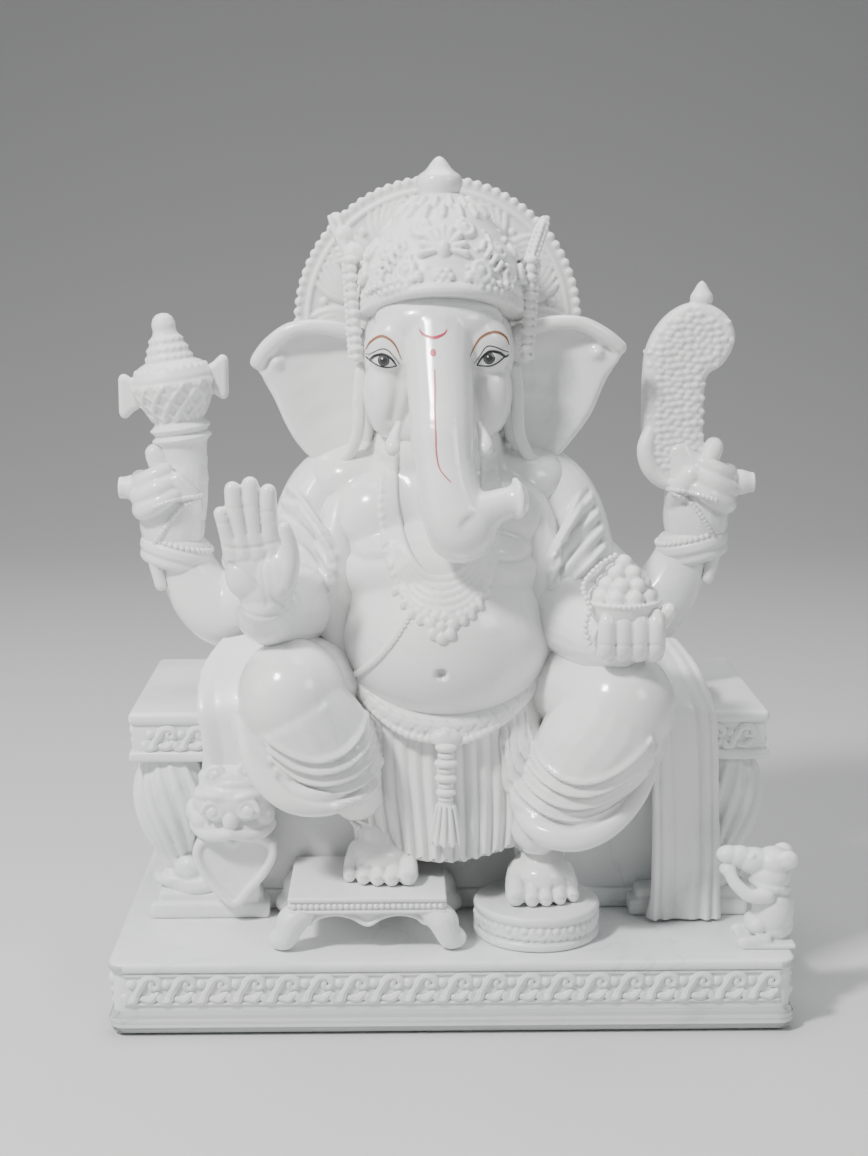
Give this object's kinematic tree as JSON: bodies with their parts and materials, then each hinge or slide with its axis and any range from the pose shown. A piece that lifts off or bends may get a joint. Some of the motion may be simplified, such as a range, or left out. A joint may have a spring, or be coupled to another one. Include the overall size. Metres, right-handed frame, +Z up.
{
  "type": "ganesha idol",
  "caption": "Seated elephant-headed deity in white marble, with halo, crown, raised palm and bowl of sweets, on a bench seat over a carved rectangular plinth.",
  "frame": {"origin": "centre of the plinth's underside", "axes": "+Z up, -Y is the front that the figure faces, +X is to the right as seen from the front"},
  "size_m": [0.49, 0.27, 0.606],
  "materials": {
    "marble_polished": "white marble, polished smooth",
    "marble_carved": "white marble, finely carved and only lightly polished",
    "marble_base": "white marble, satin"
  },
  "bodies": {
    "root": {"plinth": "marble_base", "seat_core": "marble_base", "seat_slab": "marble_base", "column_left": "marble_carved", "column_right": "marble_carved", "column_foot_left": "marble_base", "column_foot_right": "marble_base", "drape_left": "marble_polished", "drape_right": "marble_polished", "shield": "marble_carved", "lion_mask": "marble_carved", "footstool_top": "marble_base", "footstool_apron": "marble_carved", "footstool_legs": "marble_carved", "lotus_stool": "marble_carved", "foot_left": "marble_polished", "foot_right": "marble_polished", "leg_left": "marble_polished", "leg_right": "marble_polished", "dhoti_skirt": "marble_polished", "belly": "marble_polished", "torso": "marble_polished", "belt": "marble_carved", "belt_tassel": "marble_carved", "necklace": "marble_carved", "sacred_thread": "marble_carved", "shawl_left": "marble_polished", "shawl_right": "marble_polished", "forearm_left": "marble_polished", "forearm_right": "marble_polished", "hand_blessing": "marble_polished", "hand_sweets": "marble_polished", "sweets_bowl": "marble_carved", "rear_arm_left": "marble_polished", "rear_arm_right": "marble_polished", "rear_forearm_left": "marble_polished", "rear_forearm_right": "marble_polished", "bangle_left": "marble_carved", "bangle_right": "marble_carved", "fist_left": "marble_polished", "fist_right": "marble_polished", "axe": "marble_carved", "axe_handle": "marble_polished", "noose": "marble_carved", "noose_handle": "marble_polished", "head": "marble_polished", "trunk": "marble_polished", "tusk_left": "marble_polished", "tusk_right": "marble_polished", "ear_left": "marble_polished", "ear_right": "marble_polished", "crown": "marble_carved", "crown_finial": "marble_polished", "halo": "marble_carved", "bead_string_left": "marble_carved", "bead_string_right": "marble_carved", "plume_left": "marble_carved", "plume_right": "marble_carved", "mouse": "marble_polished"}
  },
  "joints": []
}
